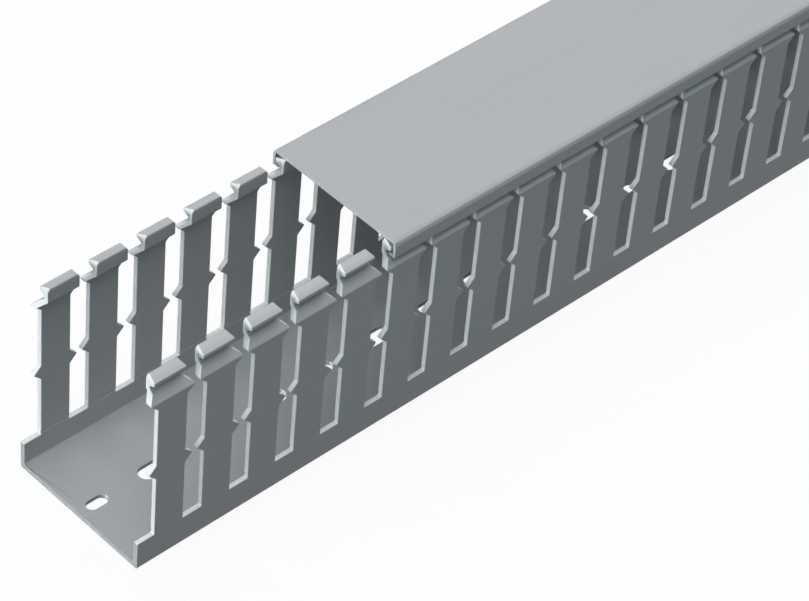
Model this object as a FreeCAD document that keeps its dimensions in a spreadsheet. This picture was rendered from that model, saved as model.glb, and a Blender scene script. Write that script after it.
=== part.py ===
import FreeCAD, Part
import Sketcher
import math
import os

os.makedirs("parts", exist_ok=True)
doc = FreeCAD.newDocument("slotted_wire_duct")

# Frame: +X along the duct, away from its open front end, +Y across it, +Z up,
# origin in the middle of the trough's underside. Sketches measure X from the front end.
sizes = {
    "ductLength": 1000,  # length that the stock is cut to, trough and cover alike
    "ductWidth": 60,  # over the outer faces of the two walls
    "ductHeight": 82,  # underside of the trough to the top of the closed cover
    "wallThick": 2,
    "floorThick": 1.8,
    "footChamfer": 0.5,  # outer edge under each wall
    "cornerChamfer": 0.8,  # inside corner between floor and wall
    "slotPitch": 20,  # from finger to finger
    "slotWide": 8,
    "slotFoot": 11.6,  # height of the solid band under the slots
    "firstFinger": 7.1,  # from the cut front end to the first finger
    "toothReach": 3,  # how far a retaining tooth stands into the slot, and half its height
    "midTooth": 40.5,  # height of the middle pair of teeth, the upper pair is at the fingers' bend
    "neckInset": 3.9,  # how far a finger's neck stands in from its wall
    "neckHigh": 5.2,  # from the bend up to the lip's root
    "lipHigh": 3.9,  # from the lip's root to its ridge
    "lipTilt": 0.9,  # how much higher the lip's underside is at the tip than at the root
    "lipEdge": 1.6,  # height of the lip's tip
    "lipOverhang": 0.5,  # how much longer than its finger is wide a lip is, at each end
    "headTaper": 2,  # how far a slot widens on each side from the lip's tip up to the cover's top
    "coverThick": 1.1,
    "coverRound": 1.8,  # outer radius of the cover's long edges
    "runningGap": 0.3,  # play over and under the lip inside the cover
    "tipGap": 0.5,  # between a lip's tip and the cover's flange
    "neckGap": 0.9,  # between a hook's edge and the neck
    "coverBack": 107,  # how far the cover is slid back
    "holePitch": 50,  # from one fixing slot to the next of its kind
    "smallFirst": 8,  # front end to the middle of the first small fixing slot
    "smallLong": 8.4,
    "smallWide": 4.5,
    "largeFirst": 33.3,  # front end to the middle of the first large fixing slot
    "largeLong": 14,
    "largeWide": 6.4,
}
sheet = doc.addObject("Spreadsheet::Sheet", "Size")
for row, (name, value) in enumerate(sizes.items(), start=1):
    sheet.set(f"A{row}", name)
    sheet.set(f"B{row}", str(value))
    sheet.setAlias(f"B{row}", name)
doc.recompute()


def newBody(label):
    body = doc.addObject("PartDesign::Body", label)
    body.Label = label
    return body


def originFeature(body, role):
    return next(item for item in body.Origin.OriginFeatures if item.Role == role)


def newSketch(body, name, plane):
    sketch = body.newObject("Sketcher::SketchObject", name)
    sketch.AttachmentSupport = [(originFeature(body, plane), "")]
    sketch.MapMode = "FlatFace"
    return sketch


def drive(sketch, constraint, expression):
    number = sketch.addConstraint(constraint)
    sketch.setExpression(f"Constraints[{number}]", expression)


def drawOutline(body, name, plane, corners):
    # closed outline of straight sides, each corner held by two expressions of the sheet
    sketch = newSketch(body, name, plane)
    count = len(corners)
    turns = [k * math.tau / count for k in range(count)]
    start = [FreeCAD.Vector(math.cos(turn), math.sin(turn), 0) for turn in turns]
    for k in range(count):
        sketch.addGeometry(Part.LineSegment(start[k], start[(k + 1) % count]), False)
    for k in range(count):
        sketch.addConstraint(Sketcher.Constraint("Coincident", k, 2, (k + 1) % count, 1))
    for k, (across, up) in enumerate(corners):
        drive(sketch, Sketcher.Constraint("DistanceX", -1, 1, k, 1, start[k].x), across)
        drive(sketch, Sketcher.Constraint("DistanceY", -1, 1, k, 1, start[k].y), up)
    return sketch


def drawObround(body, kind):
    # a fixing slot with round ends on the middle line of the floor: two sides and two half circles
    sketch = newSketch(body, kind + "_hole", "XY_Plane")
    middle, long, wide = (sizes[kind + part] for part in ("First", "Long", "Wide"))
    radius, straight = wide / 2, (long - wide) / 2
    near, far = FreeCAD.Vector(middle - straight, 0, 0), FreeCAD.Vector(middle + straight, 0, 0)
    side = FreeCAD.Vector(0, radius, 0)
    sketch.addGeometry(Part.LineSegment(near + side, far + side), False)
    sketch.addGeometry(Part.LineSegment(far - side, near - side), False)
    for centre, turn in ((far, -math.pi / 2), (near, math.pi / 2)):
        circle = Part.Circle(centre, FreeCAD.Vector(0, 0, 1), radius)
        sketch.addGeometry(Part.ArcOfCircle(circle, turn, turn + math.pi), False)
    for line, point, arc, end in ((0, 2, 2, 2), (1, 1, 2, 1), (1, 2, 3, 2), (0, 1, 3, 1)):
        sketch.addConstraint(Sketcher.Constraint("Tangent", line, point, arc, end))
    sketch.addConstraint(Sketcher.Constraint("PointOnObject", 2, 3, -1))
    sketch.addConstraint(Sketcher.Constraint("PointOnObject", 3, 3, -1))
    straightHalf = f"(Size.{kind}Long - Size.{kind}Wide) / 2"
    drive(sketch, Sketcher.Constraint("Radius", 2, radius), f"Size.{kind}Wide / 2")
    for arc, centre, sign in ((2, far, "+"), (3, near, "-")):
        place = Sketcher.Constraint("DistanceX", -1, 1, arc, 3, centre.x)
        drive(sketch, place, f"Size.{kind}First {sign} {straightHalf}")
    return sketch


def extrudeLength(body, sketch):
    pad = body.newObject("PartDesign::Pad", sketch.Name + "_pad")
    pad.Profile = sketch
    pad.setExpression("Length", "Size.ductLength")
    body.Tip = pad
    return pad


def mirrorAcross(body, feature):
    mirror = body.newObject("PartDesign::Mirrored", feature.Name + "_mirror")
    mirror.Originals = [feature]
    mirror.MirrorPlane = (originFeature(body, "XZ_Plane"), [""])
    body.Tip = mirror
    return mirror


def cutThrough(body, sketch):
    pocket = body.newObject("PartDesign::Pocket", sketch.Name + "_cut")
    pocket.Profile = sketch
    pocket.Type = "ThroughAll"
    pocket.SideType = "Symmetric"
    body.Tip = pocket
    return pocket


def cutDown(body, sketch):
    pocket = body.newObject("PartDesign::Pocket", sketch.Name + "_cut")
    pocket.Profile = sketch
    pocket.Reversed = True
    pocket.setExpression("Length", "Size.floorThick")
    body.Tip = pocket
    return pocket


def repeatAlong(body, feature, pitch, first):
    # as many copies as start inside the length, where first is the place of the first one
    pattern = body.newObject("PartDesign::LinearPattern", feature.Name + "_row")
    pattern.Originals = [feature]
    pattern.Direction = (originFeature(body, "X_Axis"), [""])
    pattern.Mode = "Spacing"
    pattern.setExpression("Offset", pitch)
    pattern.setExpression("Occurrences", f"ceil((Size.ductLength - ({first})) / {pitch})")
    body.Tip = pattern
    return pattern


# heights and insets that the trough and its cover share
outer = "Size.ductWidth / 2"
neck = f"({outer} - Size.neckInset)"
ridgeTop = "(Size.ductHeight - Size.coverThick - Size.runningGap)"
lipRoot = f"({ridgeTop} - Size.lipHigh)"
shoulder = f"({lipRoot} - Size.neckHigh)"


def buildTrough():
    body = newBody("slotted_trough")

    # half of the section: floor, wall, finger that bends in to a neck, lip that the cover hooks under
    inner = f"({outer} - Size.wallThick)"
    neckInner = f"({neck} - Size.wallThick)"
    bend = "Size.wallThick * tan(22.5 deg)"
    tip = f"({outer} - Size.coverThick - Size.tipGap)"
    tipFoot = f"({lipRoot} + Size.lipTilt)"
    tipTop = f"({tipFoot} + Size.lipEdge)"
    section = [
        ("0 mm", "0 mm"),
        (f"{outer} - Size.footChamfer", "0 mm"),
        (outer, "Size.footChamfer"),
        (outer, shoulder),
        (neck, f"{shoulder} + Size.neckInset"),
        (neck, lipRoot),
        (tip, tipFoot),
        (tip, tipTop),
        (neckInner, ridgeTop),
        (neckInner, f"{shoulder} + Size.neckInset - {bend}"),
        (inner, f"{shoulder} - {bend}"),
        (inner, "Size.floorThick + Size.cornerChamfer"),
        (f"{inner} - Size.cornerChamfer", "Size.floorThick"),
        ("0 mm", "Size.floorThick"),
    ]
    half = extrudeLength(body, drawOutline(body, "section", "YZ_Plane", section))
    mirrorAcross(body, half)

    # two sorts of fixing slot take turns along the middle of the floor
    for kind in ("small", "large"):
        firstHole = cutDown(body, drawObround(body, kind))
        repeatAlong(body, firstHole, "Size.holePitch", f"Size.{kind}First + Size.{kind}Long / 2")

    def toothedEdge(side, into, away):
        # a slot's edge, from its foot past two teeth and the end of the lip up to the cover's height
        reach = f"{side} {into} Size.toothReach"
        lipEnd = f"{side} {into} Size.lipOverhang"
        return [
            (side, "Size.slotFoot"),
            (side, "Size.midTooth - Size.toothReach"),
            (reach, "Size.midTooth"),
            (side, "Size.midTooth + Size.toothReach"),
            (side, f"{shoulder} - Size.toothReach"),
            (reach, shoulder),
            (lipEnd, f"{shoulder} + Size.toothReach - Size.lipOverhang"),
            (lipEnd, tipTop),
            (f"{lipEnd} {away} Size.headTaper", "Size.ductHeight"),
        ]

    # the front end is sawn through a slot: what is left of that slot has teeth on its far side only
    leftSide = "Size.firstFinger - Size.slotWide"
    rightSide = "Size.firstFinger"
    endSlot = [
        (leftSide, "Size.slotFoot"),
        *toothedEdge(rightSide, "-", "+"),
        (leftSide, "Size.ductHeight"),
    ]
    cutThrough(body, drawOutline(body, "end_slot", "XZ_Plane", endSlot))

    # one slot through both walls, with two pairs of teeth that face each other across it
    leftSide = f"{leftSide} + Size.slotPitch"
    rightSide = f"{rightSide} + Size.slotPitch"
    slot = [*toothedEdge(rightSide, "-", "+"), *reversed(toothedEdge(leftSide, "+", "-"))]
    slotCut = cutThrough(body, drawOutline(body, "slot", "XZ_Plane", slot))
    repeatAlong(body, slotCut, "Size.slotPitch", leftSide)
    body.setExpression("Placement.Base.x", "-Size.ductLength / 2")
    return body


def buildCover():
    body = newBody("snap_cover")

    # half of the section: top plate, flange flush with the wall, hook under the lip
    flange = f"({outer} - Size.coverThick)"
    hook = f"({neck} + Size.neckGap)"
    plate = "Size.ductHeight - Size.coverThick"
    hookTop = f"({lipRoot} - Size.runningGap)"
    coverFoot = f"({hookTop} - Size.coverThick)"
    round45 = "Size.coverRound * (1 - sqrt(0.5))"
    section = [
        ("0 mm", plate),
        (flange, plate),
        (flange, hookTop),
        (hook, hookTop),
        (hook, coverFoot),
        (outer, coverFoot),
        (outer, "Size.ductHeight - Size.coverRound"),
        (f"{outer} - {round45}", f"Size.ductHeight - {round45}"),
        (f"{outer} - Size.coverRound", "Size.ductHeight"),
        ("0 mm", "Size.ductHeight"),
    ]
    half = extrudeLength(body, drawOutline(body, "cover_section", "YZ_Plane", section))
    mirrorAcross(body, half)
    body.setExpression("Placement.Base.x", "Size.coverBack - Size.ductLength / 2")
    return body


bodies = [buildTrough(), buildCover()]
doc.recompute()

for item in doc.Objects:
    if "Invalid" in item.State or "Error" in item.State:
        raise SystemExit(f"{item.Name} failed: {item.State}")
for body in bodies:
    shape = body.Shape
    if shape.isNull() or not shape.isValid() or len(shape.Solids) != 1:
        raise SystemExit(f"{body.Label} isn't one valid solid")
    shape.exportStep(f"parts/{body.Label}.step")
    print(body.Label, "solids", len(shape.Solids), "volume", round(shape.Volume), shape.BoundBox)
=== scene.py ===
import math

import bmesh
import bpy
from mathutils import Matrix, Vector


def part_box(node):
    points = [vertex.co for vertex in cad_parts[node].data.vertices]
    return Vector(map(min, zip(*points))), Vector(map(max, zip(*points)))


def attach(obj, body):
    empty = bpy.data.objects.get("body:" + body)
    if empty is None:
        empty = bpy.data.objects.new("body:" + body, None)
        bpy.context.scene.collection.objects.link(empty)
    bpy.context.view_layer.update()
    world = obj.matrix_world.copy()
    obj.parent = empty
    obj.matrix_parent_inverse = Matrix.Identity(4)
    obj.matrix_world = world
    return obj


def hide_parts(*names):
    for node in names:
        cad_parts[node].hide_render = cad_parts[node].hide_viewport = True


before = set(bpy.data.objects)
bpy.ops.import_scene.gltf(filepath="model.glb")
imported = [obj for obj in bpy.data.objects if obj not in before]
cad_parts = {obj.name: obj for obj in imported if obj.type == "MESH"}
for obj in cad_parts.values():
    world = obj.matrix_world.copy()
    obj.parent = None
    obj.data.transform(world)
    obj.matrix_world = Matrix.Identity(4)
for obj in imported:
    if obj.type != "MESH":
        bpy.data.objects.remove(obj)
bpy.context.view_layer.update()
mm = 0.001
scene = bpy.context.scene
scene.view_settings.view_transform = "Standard"

# the camera that took the picture

shot = {
    "place": (-1009.184, -613.643, 853.975),   # mm, in the duct's own frame
    "aim": (-377.25, -21.46, 41.0),
    "roll": 5.65,                              # degrees, clockwise as seen in the picture
    "lens": 157.62,                            # mm, for the sensor below
    "sensor": 36,
    "clip": (0.01, 50),                        # metres, the nearest and farthest that it sees
}


def setCamera():
    data = bpy.data.cameras.new("camera")
    camera = bpy.data.objects.new("camera", data)
    scene.collection.objects.link(camera)
    place = Vector(shot["place"]) * mm
    ahead = (Vector(shot["aim"]) * mm - place).normalized()
    right = ahead.cross(Vector((0, 0, 1))).normalized()
    up = right.cross(ahead)
    turn = math.radians(shot["roll"])
    sideways = right * math.cos(turn) + up * math.sin(turn)
    upright = up * math.cos(turn) - right * math.sin(turn)
    axes = Matrix((sideways, upright, -ahead)).transposed().to_4x4()
    camera.matrix_world = Matrix.Translation(place) @ axes
    data.lens = shot["lens"]
    data.sensor_width = shot["sensor"]
    data.clip_start, data.clip_end = shot["clip"]
    scene.camera = camera


setCamera()
print("camera placed")

# light, world and floor

studio = {
    # each soft lamp: strength, width in degrees, the way from the duct towards it, colour
    "front": (2.95, 28, (-1, 0, 0.1), (0.97, 1.0, 1.0)),
    "overhead": (0.3, 40, (0, 0, 1), (1.0, 0.94, 0.95)),
    "far side": (0.8, 40, (0.5, 1, 1.2), (1.0, 0.94, 0.95)),
    "back": (0.85, 40, (0.53, 0, 0.84), (1.0, 0.94, 0.95)),
    "near side": (0.85, 40, (-0.5, -0.4, 1.2), (0.88, 0.985, 1.0)),
    "glossAbove": 0.3,                   # a lamp whose way rises less than this gives light but no gloss
    "sky": 0.14,                         # strength of the even light from all around
    "skyTint": (0.78, 0.97, 1.0),
    "floorSize": 12.0,                   # metres
    "floorDark": (0.09, 0.12, 0.13),     # what the floor sends back onto the duct
    "floorPale": (0.98, 0.98, 0.98),     # what the camera sees of it
    "floorGlow": 0.9,                    # share of plain white in what the camera sees
}


def seenDirectly(tree):
    # 1 for what the camera or a reflection sees, 0 for light that falls on the duct
    path = tree.nodes.new("ShaderNodeLightPath")
    first = tree.nodes.new("ShaderNodeMath")
    second = tree.nodes.new("ShaderNodeMath")
    for node in (first, second):
        node.operation = "ADD"
        node.use_clamp = True
    tree.links.new(path.outputs["Is Camera Ray"], first.inputs[0])
    tree.links.new(path.outputs["Is Glossy Ray"], first.inputs[1])
    tree.links.new(first.outputs[0], second.inputs[0])
    tree.links.new(path.outputs["Is Transmission Ray"], second.inputs[1])
    return second.outputs[0]


def setWorld():
    world = bpy.data.worlds.new("pale room")
    scene.world = world
    world.use_nodes = True
    tree = world.node_tree
    tree.nodes.clear()
    soft = tree.nodes.new("ShaderNodeBackground")
    soft.inputs["Color"].default_value = (*studio["skyTint"], 1)
    soft.inputs["Strength"].default_value = studio["sky"]
    white = tree.nodes.new("ShaderNodeBackground")
    white.inputs["Color"].default_value = (1, 1, 1, 1)
    white.inputs["Strength"].default_value = 1.0
    choose = tree.nodes.new("ShaderNodeMixShader")
    out = tree.nodes.new("ShaderNodeOutputWorld")
    tree.links.new(seenDirectly(tree), choose.inputs["Fac"])
    tree.links.new(soft.outputs[0], choose.inputs[1])
    tree.links.new(white.outputs[0], choose.inputs[2])
    tree.links.new(choose.outputs[0], out.inputs["Surface"])


def setLamp(name):
    strength, width, way, color = studio[name]
    data = bpy.data.lights.new(name, "SUN")
    data.energy = strength
    data.angle = math.radians(width)
    data.color = color
    lamp = bpy.data.objects.new(name, data)
    scene.collection.objects.link(lamp)
    lamp.rotation_euler = Vector(way).to_track_quat("Z", "Y").to_euler()
    lamp.visible_glossy = way[2] > studio["glossAbove"]


def setFloor():
    bm = bmesh.new()
    bmesh.ops.create_grid(bm, x_segments=2, y_segments=2, size=studio["floorSize"] / 2)
    data = bpy.data.meshes.new("floor")
    bm.to_mesh(data)
    bm.free()
    floor = bpy.data.objects.new("floor", data)
    scene.collection.objects.link(floor)
    material = bpy.data.materials.new("pale floor")
    material.use_nodes = True
    tree = material.node_tree
    tree.nodes.clear()
    dark = tree.nodes.new("ShaderNodeBsdfDiffuse")
    dark.inputs["Color"].default_value = (*studio["floorDark"], 1)
    pale = tree.nodes.new("ShaderNodeBsdfDiffuse")
    pale.inputs["Color"].default_value = (*studio["floorPale"], 1)
    glow = tree.nodes.new("ShaderNodeEmission")
    glow.inputs["Color"].default_value = (1, 1, 1, 1)
    glow.inputs["Strength"].default_value = 1.0
    seen = tree.nodes.new("ShaderNodeMixShader")
    seen.inputs["Fac"].default_value = studio["floorGlow"]
    choose = tree.nodes.new("ShaderNodeMixShader")
    out = tree.nodes.new("ShaderNodeOutputMaterial")
    tree.links.new(pale.outputs[0], seen.inputs[1])
    tree.links.new(glow.outputs[0], seen.inputs[2])
    tree.links.new(seenDirectly(tree), choose.inputs["Fac"])
    tree.links.new(dark.outputs[0], choose.inputs[1])
    tree.links.new(seen.outputs[0], choose.inputs[2])
    tree.links.new(choose.outputs[0], out.inputs["Surface"])
    data.materials.append(material)


setWorld()
for lamp in ("front", "overhead", "far side", "back", "near side"):
    setLamp(lamp)
setFloor()
print("room lit")

# the grey plastic, as extruded and as punched or sawn

skin = {
    "trough": (0.425, 0.432, 0.447),
    "cover": (0.445, 0.452, 0.470),
    "sawn": (0.48, 0.49, 0.505),
    "punchedWithPaintedHighlight": (0.86, 0.87, 0.88),   # the punch tears the wall and whitens it; paler still is a painted highlight on the cut faces
    "wornAndPaintedHighlight": (0.90, 0.91, 0.92),      # where an edge has been rubbed or torn; also the painted highlight along edges and on the lip tops
    "gloss": 0.16,                   # specular level of the plain plastic
    "roughness": (0.41, 0.53),       # of the extruded skin, lowest and highest
    "cutRoughness": (0.54, 0.70),    # of the punched and sawn faces
    "cutDarker": 0.93,               # the darker patches of a cut face
    "streak": 0.02,                  # share of the colour that the lines along the duct change
    "edgeReach": 0.3,                # mm, how far an edge's wear and painted highlight reach
    "edgeSamples": 4,
    "edgeBent": (0.80, 0.995),       # agreement of rounded and true normal, at a worn edge with painted highlight and on a flat face
    "edgeWearAndPaintedHighlight": 0.35,                # how far wear and a painted highlight pale an edge
    "paintedLipSheen": 0.16,                  # how far the lip tops are paled, a painted highlight
    "paintedLipSheenUneven": (0.6, 1.4),      # shares of that along the drawn lines
    "paintedLipSheenHigh": 78.5,              # mm, the height at which it starts
    "burrs": 0.8,                    # how far torn specks pale a cut face
    # noises, in repeats per metre along X, Y and Z
    "lines": (3, 700, 700),          # drawn lines that run along the duct
    "cloud": (14, 30, 30),
    "grain": (2600, 2600, 2600),
    "torn": (500, 60, 1400),         # the punch drags fine lines through the wall
    "patches": (260, 260, 260),
    "flakes": (1500, 1500, 1500),
    "detail": 3.0,
    "lessDetail": 2.0,
    "noiseRoughness": 0.55,
    # the part of a noise's span that is put to use
    "wide": (0.3, 0.7),
    "medium": (0.35, 0.65),
    "tight": (0.38, 0.62),
    "fewPatches": (0.5, 0.6),
    "fewFlakes": (0.56, 0.64),
    # bumps: strength and depth in mm
    "grainBump": (0.2, 0.015),
    "lineBump": (0.25, 0.015),
    "flakeBump": (0.3, 0.04),
    "tornBump": (0.35, 0.06),
}


def addNode(tree, kind, **values):
    node = tree.nodes.new(kind)
    for key, value in values.items():
        if key in node.inputs:
            node.inputs[key].default_value = value
        else:
            setattr(node, key, value)
    return node


def mathNode(tree, operation, first, second):
    node = addNode(tree, "ShaderNodeMath", operation=operation)
    for index, value in enumerate((first, second)):
        if isinstance(value, (int, float)):
            node.inputs[index].default_value = value
        else:
            tree.links.new(value, node.inputs[index])
    return node.outputs[0]


def noise(tree, place, name, detail="detail"):
    mapping = addNode(tree, "ShaderNodeMapping", Scale=skin[name])
    tree.links.new(place, mapping.inputs["Vector"])
    texture = addNode(
        tree, "ShaderNodeTexNoise", Scale=1.0, Detail=skin[detail], Roughness=skin["noiseRoughness"]
    )
    tree.links.new(mapping.outputs[0], texture.inputs["Vector"])
    return texture.outputs["Fac"]


def ranged(tree, source, span, low, high):
    node = tree.nodes.new("ShaderNodeMapRange")
    for name, value in zip(("From Min", "From Max", "To Min", "To Max"), (*span, low, high)):
        node.inputs[name].default_value = value
    tree.links.new(source, node.inputs["Value"])
    return node.outputs[0]


def mixColor(tree, factor, first, second):
    node = addNode(tree, "ShaderNodeMix", data_type="RGBA")
    tree.links.new(factor, node.inputs["Factor"])
    for name, value in (("A", first), ("B", second)):
        if isinstance(value, tuple):
            node.inputs[name].default_value = (*value, 1)
        else:
            tree.links.new(value, node.inputs[name])
    return node.outputs["Result"]


def edgeMask(tree):
    # 1 on an edge, 0 on a flat face
    reach = skin["edgeReach"] * mm
    rounded = addNode(tree, "ShaderNodeBevel", samples=skin["edgeSamples"], Radius=reach)
    plain = tree.nodes.new("ShaderNodeNewGeometry")
    dot = addNode(tree, "ShaderNodeVectorMath", operation="DOT_PRODUCT")
    tree.links.new(rounded.outputs[0], dot.inputs[0])
    tree.links.new(plain.outputs["Normal"], dot.inputs[1])
    return ranged(tree, dot.outputs["Value"], skin["edgeBent"], 1.0, 0.0)


def bumped(tree, height, name, under=None):
    strength, depth = skin[name]
    node = addNode(tree, "ShaderNodeBump", Strength=strength, Distance=depth * mm)
    tree.links.new(height, node.inputs["Height"])
    if under:
        tree.links.new(under, node.inputs["Normal"])
    return node.outputs[0]


def newPlastic(name):
    material = bpy.data.materials.new(name)
    material.use_nodes = True
    tree = material.node_tree
    place = tree.nodes.new("ShaderNodeTexCoord").outputs["Object"]
    shader = tree.nodes["Principled BSDF"]
    shader.inputs["Specular IOR Level"].default_value = skin["gloss"]
    return material, tree, shader, place


def extruded(name, color, paintLipSheen=False):
    material, tree, shader, place = newPlastic(name)
    lines = noise(tree, place, "lines")
    cloud = noise(tree, place, "cloud")
    grain = noise(tree, place, "grain", "lessDetail")
    both = mathNode(tree, "MULTIPLY", mathNode(tree, "ADD", lines, cloud), 0.5)
    darker = tuple(c * (1 - skin["streak"]) for c in color)
    paler = tuple(c * (1 + skin["streak"]) for c in color)
    tone = mixColor(tree, ranged(tree, both, skin["tight"], 0, 1), darker, paler)
    grainy = ranged(tree, grain, skin["wide"], 0, skin["edgeWearAndPaintedHighlight"])
    # edges are paled: partly wear, partly a painted highlight
    wearAndPaintedHighlight = mathNode(tree, "MULTIPLY", edgeMask(tree), grainy)
    # the lip tops above a given height are paled: a painted highlight
    if paintLipSheen:
        height = addNode(tree, "ShaderNodeSeparateXYZ")
        tree.links.new(place, height.inputs[0])
        start = skin["paintedLipSheenHigh"] * mm
        paintedSheen = ranged(tree, height.outputs["Z"], (start, start + mm), 0, skin["paintedLipSheen"])
        uneven = ranged(tree, lines, skin["medium"], *skin["paintedLipSheenUneven"])
        wearAndPaintedHighlight = mathNode(tree, "MAXIMUM", wearAndPaintedHighlight, mathNode(tree, "MULTIPLY", paintedSheen, uneven))
    tree.links.new(mixColor(tree, wearAndPaintedHighlight, tone, skin["wornAndPaintedHighlight"]), shader.inputs["Base Color"])
    tree.links.new(ranged(tree, both, skin["wide"], *skin["roughness"]), shader.inputs["Roughness"])
    fine = bumped(tree, grain, "grainBump")
    tree.links.new(bumped(tree, lines, "lineBump", fine), shader.inputs["Normal"])
    return material


def cutPlastic(name, color):
    material, tree, shader, place = newPlastic(name)
    torn = noise(tree, place, "torn")
    patches = noise(tree, place, "patches")
    grain = noise(tree, place, "flakes", "lessDetail")
    darker = tuple(c * skin["cutDarker"] for c in color)
    tone = mixColor(tree, ranged(tree, patches, skin["medium"], 0, 1), darker, color)
    specks = ranged(tree, grain, skin["fewFlakes"], 0, skin["burrs"])
    flakes = mathNode(tree, "MULTIPLY", specks, ranged(tree, patches, skin["fewPatches"], 0, 1))
    # cut edges are paled: partly wear, partly a painted highlight
    edges = mathNode(tree, "MULTIPLY", edgeMask(tree), skin["edgeWearAndPaintedHighlight"])
    wearAndPaintedHighlight = mathNode(tree, "MAXIMUM", flakes, edges)
    tree.links.new(mixColor(tree, wearAndPaintedHighlight, tone, skin["wornAndPaintedHighlight"]), shader.inputs["Base Color"])
    tree.links.new(ranged(tree, torn, skin["wide"], *skin["cutRoughness"]), shader.inputs["Roughness"])
    fine = bumped(tree, grain, "flakeBump")
    tree.links.new(bumped(tree, torn, "tornBump", fine), shader.inputs["Normal"])
    return material


troughSkin = extruded("trough grey plastic", skin["trough"], paintLipSheen=True)
coverSkin = extruded("cover grey plastic", skin["cover"])
sawnSkin = cutPlastic("sawn grey plastic", skin["sawn"])
# punched faces: whitened by the punch, and paler still by a painted highlight
punchedHighlightSkin = cutPlastic("punched grey plastic with painted highlight", skin["punchedWithPaintedHighlight"])
print("plastic mixed")

# lengths in mm and folds in degrees; how far a face is turned towards an axis is its normal's share of it

mesh = {
    "same": 0.001,           # points this near are one point
    "near": 0.01,            # a point this near to a face lies on it
    "thin": 0.005,           # what is thinner than this goes
    "flatWithin": 1.0,       # faces with a smaller fold between them become one
    "along": 0.999,          # an edge whose way agrees this well with an axis runs along it
    "crisp": 50,             # least fold of an edge that punch or saw left
    "bent": 30,              # least fold of the trough's other edges
}
finish = {
    "cutAcross": 0.35,       # a face turned this far along the duct was cut
    "sawReach": 0.2,         # how far from an end the saw's faces lie
    "drawn": 0.3,            # a face turned this far sideways came through the die
    "ledgeReach": 0.2,       # how far from the ledge's height its faces lie
    "holeFlank": 0.8,        # a fixing slot's faces are turned up or down less than this
}


def nodeCopy(node):
    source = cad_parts[node]
    bm = bmesh.new()
    bm.from_mesh(source.data)
    bmesh.ops.remove_doubles(bm, verts=bm.verts, dist=mesh["same"] * mm)
    bmesh.ops.dissolve_limit(
        bm,
        angle_limit=math.radians(mesh["flatWithin"]),
        verts=bm.verts,
        edges=bm.edges,
        delimit={"NORMAL"},
    )
    for edge in bm.edges:
        edge.smooth = True
    return bm


def runs(edge, axis):
    way = edge.verts[1].co - edge.verts[0].co
    return abs(way[axis]) > mesh["along"] * way.length


def fold(edge):
    return math.degrees(edge.calc_face_angle(0)) if len(edge.link_faces) == 2 else 0


def high(edge):
    return (edge.verts[0].co.z + edge.verts[1].co.z) / 2 / mm


def roundEdges(bm, edges, size):
    offset, segments = size
    bmesh.ops.bevel(
        bm,
        geom=edges,
        offset=offset * mm,
        offset_type="OFFSET",
        segments=segments,
        profile=0.5,
        affect="EDGES",
        material=-1,
        clamp_overlap=False,
        loop_slide=True,
    )


def easeCutEdges(bm, size, box):
    # rounds every edge that punch or saw left, and leaves nothing proud of the sawn ends
    roundEdges(bm, [e for e in bm.edges if fold(e) > mesh["crisp"]], size)
    bmesh.ops.remove_doubles(bm, verts=bm.verts, dist=mesh["near"] * mm)
    bmesh.ops.dissolve_degenerate(bm, edges=bm.edges, dist=mesh["thin"] * mm)
    for vert in bm.verts:
        vert.co.x = min(max(vert.co.x, box[0].x), box[1].x)


def finishOf(face, box):
    # the place in a piece's skins: 0 drawn through the die, 1 punched, 2 sawn off
    middle, way = face.calc_center_median(), face.normal
    fromEnd = min(middle.x - box[0].x, box[1].x - middle.x)
    across = abs(way.x) > finish["cutAcross"]
    if across and fromEnd < finish["sawReach"] * mm:
        return 2
    if abs(way.y) > finish["drawn"]:
        return 0
    atLedge = abs(middle.z - trough["ledge"] * mm) < finish["ledgeReach"] * mm
    ledge = atLedge and way.z > finish["cutAcross"]
    fixing = abs(middle.y) < trough["besideHoles"] * mm and abs(way.z) < finish["holeFlank"]
    return 1 if across or ledge or fixing else 0


def finishPiece(bm, name, node, body, skins, easing):
    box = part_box(node)
    easeCutEdges(bm, easing, box)
    for face in bm.faces:
        face.material_index = finishOf(face, box)
        face.smooth = True
        if inScore(face):
            for edge in face.edges:
                edge.smooth = False
    data = bpy.data.meshes.new(name)
    bm.to_mesh(data)
    bm.free()
    for material in skins:
        data.materials.append(material)
    piece = bpy.data.objects.new(name, data)
    scene.collection.objects.link(piece)
    flat = piece.modifiers.new("flat faces stay flat", "WEIGHTED_NORMAL")
    flat.keep_sharp = True
    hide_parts(node)
    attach(piece, body)
    return piece


# the trough

trough = {
    # roundings: offset and count of segments
    "punchCorner": (0.35, 2),
    "bend": (0.4, 3),
    "ridge": (0.7, 4),
    "lip": (0.35, 3),
    "foot": (0.15, 2),
    "punchEdge": (0.18, 2),
    # heights over the underside
    "cornersHigh": (11, 73),        # the slots' corners that are eased lie between these
    "bendHigh": (70, 76),           # a finger's bends lie between these
    "lipHigh": 76.5,
    "ridgeHigh": 80,
    "footHigh": 3,
    "ledge": 11.6,                  # the foot of the slots
    "score": (12.1, 13.1, 13.35),   # the score groove's foot, deepest line and top
    # distances from the middle line
    "besideHoles": 4,               # the fixing slots lie within it
    "innerFace": 28,
    # the score groove
    "scoreDeep": 0.35,
    "facesAcross": 0.99,            # the inner faces that it is cut into are turned this far sideways
    "scoreAcross": 0.8,             # its flanks are turned sideways more than this
    "scoreSlope": 0.1,              # and up or down more than this
}


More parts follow.
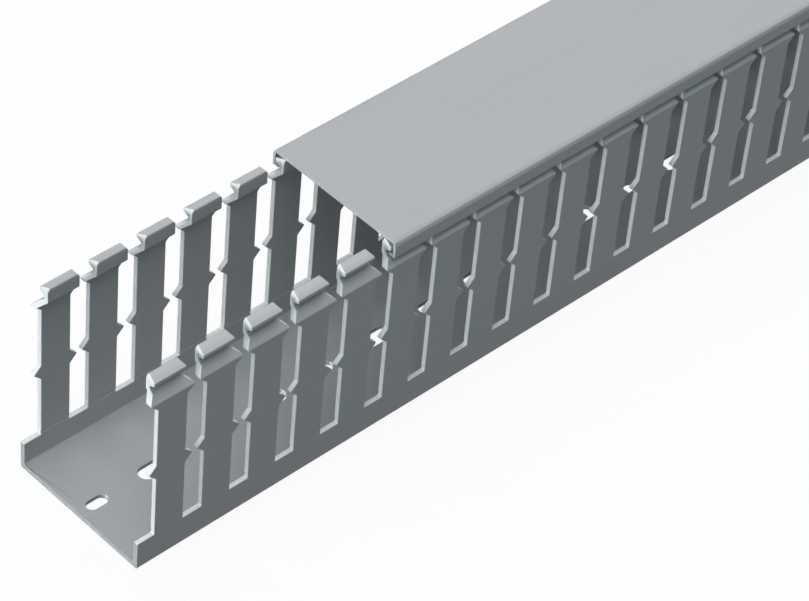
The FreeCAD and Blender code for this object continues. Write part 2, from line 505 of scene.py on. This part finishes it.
def scoreInside(bm):
    # a shallow groove along both inner faces, just over the slots' feet, where a finger is snapped off
    innerFace = trough["innerFace"] * mm
    near = mesh["near"] * mm
    for height in trough["score"]:
        across = [f for f in bm.faces if abs(f.normal.y) > trough["facesAcross"]]
        reached = [f for f in across if abs(abs(f.calc_center_median().y) - innerFace) < near]
        # a dictionary's keys keep their order, so that each run gives the same mesh
        edges = dict.fromkeys(e for f in reached for e in f.edges)
        verts = dict.fromkeys(v for f in reached for v in f.verts)
        bmesh.ops.bisect_plane(
            bm,
            geom=[*verts, *edges, *reached],
            dist=mesh["same"] * mm,
            plane_co=(0, 0, height * mm),
            plane_no=(0, 0, 1),
        )
    deepest = trough["score"][1] * mm
    for vert in bm.verts:
        if abs(abs(vert.co.y) - innerFace) < near and abs(vert.co.z - deepest) < near:
            vert.co.y += math.copysign(trough["scoreDeep"] * mm, vert.co.y)


def inScore(face):
    # a flank of that groove, which is shaded as a flat of its own
    foot, _, top = trough["score"]
    sloped = abs(face.normal.z) > trough["scoreSlope"] and abs(face.normal.y) > trough["scoreAcross"]
    return sloped and foot * mm < face.calc_center_median().z < top * mm


def makeTrough():
    bm = nodeCopy("slotted_trough")
    print("trough faces", len(bm.faces))
    scoreInside(bm)
    lowest, highest = trough["cornersHigh"]
    folded = [e for e in bm.edges if runs(e, 1) and fold(e) > mesh["bent"]]
    roundEdges(bm, [e for e in folded if lowest < high(e) < highest], trough["punchCorner"])
    low, top = trough["bendHigh"]
    beside = trough["besideHoles"] * mm
    groups = (
        ("bend", lambda e: low < high(e) < top),
        ("ridge", lambda e: high(e) > trough["ridgeHigh"]),
        ("lip", lambda e: trough["lipHigh"] < high(e) < trough["ridgeHigh"]),
        ("foot", lambda e: high(e) < trough["footHigh"] and abs(e.verts[0].co.y) > beside),
    )
    for name, isThere in groups:
        edges = [e for e in bm.edges if runs(e, 0) and fold(e) > mesh["bent"] and isThere(e)]
        print(name, len(edges))
        roundEdges(bm, edges, trough[name])
    skins = (troughSkin, punchedHighlightSkin, sawnSkin)
    return finishPiece(
        bm, "trough_shell", "slotted_trough", "trough", skins, trough["punchEdge"]
    )


# the cover

cover = {
    # roundings: offset and count of segments
    "corner": (0.3, 3),
    "hook": (0.25, 2),
    "cutEdge": (0.08, 2),
    "cornerFold": (10, 50),         # least and most fold of the plate's corners
    "hookFold": 60,                 # least fold of the hooks' edges
}


def makeCover():
    bm = nodeCopy("snap_cover")
    print("cover faces", len(bm.faces))
    least, most = cover["cornerFold"]
    corners = [e for e in bm.edges if runs(e, 0) and least < fold(e) < most]
    roundEdges(bm, corners, cover["corner"])
    hooks = [e for e in bm.edges if runs(e, 0) and fold(e) > cover["hookFold"]]
    roundEdges(bm, hooks, cover["hook"])
    skins = (coverSkin, punchedHighlightSkin, sawnSkin)
    return finishPiece(bm, "cover_shell", "snap_cover", "cover", skins, cover["cutEdge"])


makeTrough()
makeCover()
print("duct shaped")
